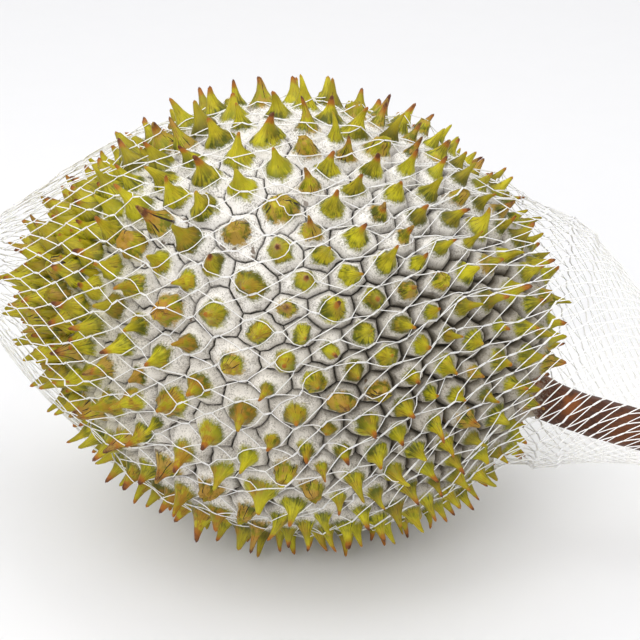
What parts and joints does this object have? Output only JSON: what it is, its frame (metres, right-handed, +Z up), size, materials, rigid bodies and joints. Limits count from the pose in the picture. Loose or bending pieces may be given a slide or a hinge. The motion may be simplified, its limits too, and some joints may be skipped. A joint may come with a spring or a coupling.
{
  "type": "whole durian in a net sleeve",
  "caption": "Whole spiny durian with its cut stalk, lying on its side in a white plastic net sleeve tied round the stalk.",
  "frame": {"origin": "middle of the footprint of the whole object, on the surface that the fruit lies on", "axes": "+X along the fruit towards the stalk, +Z up from the surface it lies on, +Y across the fruit"},
  "size_m": [0.3642, 0.2126, 0.2029],
  "materials": {
    "husk": "matte, scaly grey foot and olive green spines with brown tips",
    "stalk": "satin brown bark with a dry cut end",
    "net": "satin white translucent strands"
  },
  "bodies": {
    "root": {"husk": "husk", "stem": "stalk", "net_sleeve": "net"}
  },
  "joints": []
}
